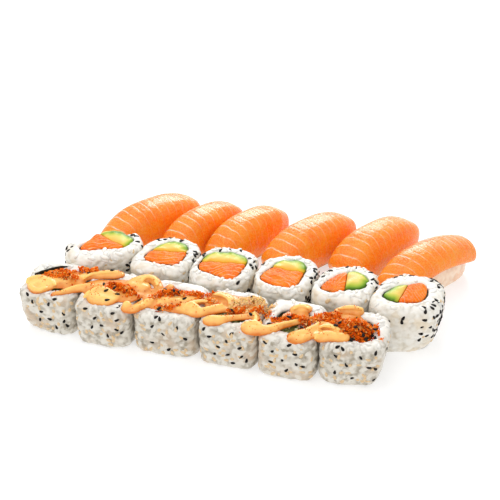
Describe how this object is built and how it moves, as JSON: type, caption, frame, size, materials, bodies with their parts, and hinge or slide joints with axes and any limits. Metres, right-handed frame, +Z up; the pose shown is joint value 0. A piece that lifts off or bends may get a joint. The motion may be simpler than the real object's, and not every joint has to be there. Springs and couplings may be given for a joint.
{
  "type": "takeaway sushi set",
  "caption": "Set of sushi laid out in three rows: rolls topped with piped sauce and crumbs, rolls with salmon and avocado, and salmon nigiri.",
  "frame": {"origin": "on the surface the set stands on, under the middle of its outer box", "axes": "+X along the rows, +Y from the topped rolls in front to the nigiri at the back, +Z up"},
  "size_m": [0.2736, 0.1812, 0.036],
  "materials": {
    "rice": "cooked rice, moist and slightly glossy",
    "topped_rice": "cooked rice with sesame, and piped sauce and crumbs on top",
    "nori": "moist dark seaweed sheet",
    "salmon": "raw salmon, wet and glossy",
    "avocado": "ripe avocado, smooth and moist",
    "filling": "chopped mixed filling, moist",
    "sauce": "thick creamy sauce, glossy",
    "crumbs": "dry coarse crumbs",
    "black_sesame": "black sesame, satin",
    "pale_sesame": "toasted sesame, satin"
  },
  "bodies": {
    "root": {"nigiri_1_rice": "rice", "nigiri_1_salmon": "salmon", "nigiri_2_rice": "rice", "nigiri_2_salmon": "salmon", "nigiri_3_rice": "rice", "nigiri_3_salmon": "salmon", "nigiri_4_rice": "rice", "nigiri_4_salmon": "salmon", "nigiri_5_rice": "rice", "nigiri_5_salmon": "salmon", "nigiri_6_rice": "rice", "nigiri_6_salmon": "salmon", "roll_1_avocado": "avocado", "roll_1_nori": "nori", "roll_1_rice": "rice", "roll_1_salmon": "salmon", "roll_2_avocado": "avocado", "roll_2_nori": "nori", "roll_2_rice": "rice", "roll_2_salmon": "salmon", "roll_3_avocado": "avocado", "roll_3_nori": "nori", "roll_3_rice": "rice", "roll_3_salmon": "salmon", "roll_4_avocado": "avocado", "roll_4_nori": "nori", "roll_4_rice": "rice", "roll_4_salmon": "salmon", "roll_5_avocado": "avocado", "roll_5_nori": "nori", "roll_5_rice": "rice", "roll_5_salmon": "salmon", "roll_6_avocado": "avocado", "roll_6_nori": "nori", "roll_6_rice": "rice", "roll_6_salmon": "salmon", "topped_1_filling": "filling", "topped_1_nori": "nori", "topped_1_rice": "topped_rice", "topped_2_filling": "filling", "topped_2_nori": "nori", "topped_2_rice": "topped_rice", "topped_3_filling": "filling", "topped_3_nori": "nori", "topped_3_rice": "topped_rice", "topped_4_filling": "filling", "topped_4_nori": "nori", "topped_4_rice": "topped_rice", "topped_5_filling": "filling", "topped_5_nori": "nori", "topped_5_rice": "topped_rice", "topped_6_filling": "filling", "topped_6_nori": "nori", "topped_6_rice": "topped_rice"}
  },
  "joints": []
}
